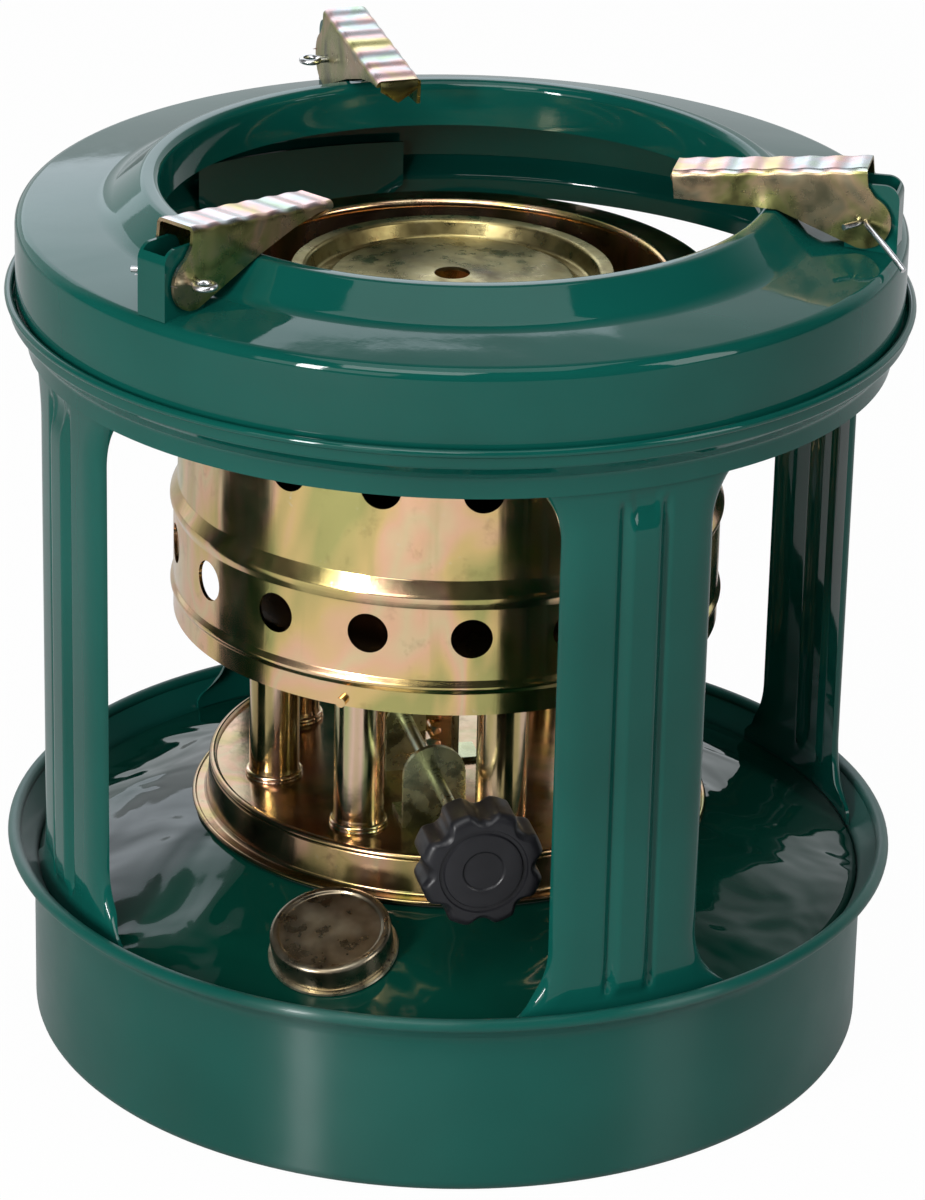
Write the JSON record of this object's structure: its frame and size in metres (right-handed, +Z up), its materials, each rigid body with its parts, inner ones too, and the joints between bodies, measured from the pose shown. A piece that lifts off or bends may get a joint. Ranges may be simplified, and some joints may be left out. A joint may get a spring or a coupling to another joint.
{
  "type": "kerosene stove",
  "caption": "Round kerosene camping stove: enamelled fuel tank on legs with a cover ring, wick burner with perforated drum, wick knob and hinged pot supports.",
  "frame": {"origin": "centre of the tank's foot on the floor", "axes": "+Z up, -Y towards the filler cap, +X to the right as seen from the filler cap"},
  "size_m": [0.2, 0.2, 0.2099],
  "materials": {
    "enamel": "gloss",
    "zinc": "satin",
    "bright_steel": "satin",
    "cap_metal": "satin",
    "knob_plastic": "gloss",
    "wick_cotton": "matte",
    "gasket": "matte"
  },
  "bodies": {
    "stand": {"tank_pan": "enamel", "tank_top": "enamel", "filler_neck": "cap_metal", "leg_1": "enamel", "leg_2": "enamel", "leg_3": "enamel", "leg_4": "enamel", "frame_ring": "enamel", "top_cover": "enamel", "support_bracket_1": "enamel", "support_bracket_2": "enamel", "support_bracket_3": "enamel", "support_pin_1": "bright_steel", "support_pin_2": "bright_steel", "support_pin_3": "bright_steel", "burner_gasket": "gasket", "burner_base": "zinc", "wick_tube_1": "zinc", "wick_tube_2": "zinc", "wick_tube_3": "zinc", "wick_tube_4": "zinc", "wick_tube_5": "zinc", "wick_tube_6": "zinc", "wick_tube_7": "zinc", "wick_tube_8": "zinc", "gallery": "zinc", "shaft_bracket": "zinc", "pinion_yoke": "zinc", "yoke_screw": "bright_steel", "rack_guide": "zinc"},
    "filler_cap": {"filler_cap": "cap_metal", "cap_gasket": "gasket"},
    "support_1": {"pot_support_1": "zinc"},
    "support_2": {"pot_support_2": "zinc"},
    "support_3": {"pot_support_3": "zinc"},
    "drum": {"drum_casing": "zinc", "casing_studs": "zinc", "outer_sleeve": "zinc", "inner_sleeve": "zinc", "flame_cap": "zinc", "cross_pins": "zinc"},
    "adjuster": {"adjuster_shaft": "zinc", "pinion": "zinc", "knob": "knob_plastic"},
    "wick_lift": {"rack": "zinc", "wick_carrier": "zinc", "wick_1": "wick_cotton", "wick_2": "wick_cotton", "wick_3": "wick_cotton", "wick_4": "wick_cotton", "wick_5": "wick_cotton", "wick_6": "wick_cotton", "wick_7": "wick_cotton", "wick_8": "wick_cotton"}
  },
  "joints": [
    {"name": "support_1_hinge", "type": "hinge", "parent": "stand", "child": "support_1", "pos_m": [-0.03297, -0.08159, 0.198], "axis": [0.9272, -0.3746, 0], "range_deg": [0, 110]},
    {"name": "support_2_hinge", "type": "hinge", "parent": "stand", "child": "support_2", "pos_m": [0.08714, 0.01225, 0.198], "axis": [-0.1392, 0.9903, 0], "range_deg": [0, 110]},
    {"name": "support_3_hinge", "type": "hinge", "parent": "stand", "child": "support_3", "pos_m": [-0.05418, 0.06935, 0.198], "axis": [-0.788, -0.6157, 0], "range_deg": [0, 110]},
    {"name": "drum_lift", "type": "slide", "parent": "stand", "child": "drum", "axis": [0, 0, 1], "range_m": [0, 0.018]},
    {"name": "knob_turn", "type": "hinge", "parent": "stand", "child": "adjuster", "pos_m": [-0.00976, -0.00627, 0.07236], "axis": [0.5402, -0.8415, 0], "range_deg": [0, 114]},
    {"name": "wick_rise", "type": "slide", "parent": "stand", "child": "wick_lift", "axis": [0, 0, 1], "range_m": [0, 0.0149]},
    {"name": "cap_lift", "type": "slide", "parent": "stand", "child": "filler_cap", "axis": [0, -0.3256, 0.9455], "range_m": [0, 0.02]}
  ],
  "couplings": [
    {"joint": "knob_turn", "follows": "wick_rise", "rad_per_m": 133.33}
  ]
}
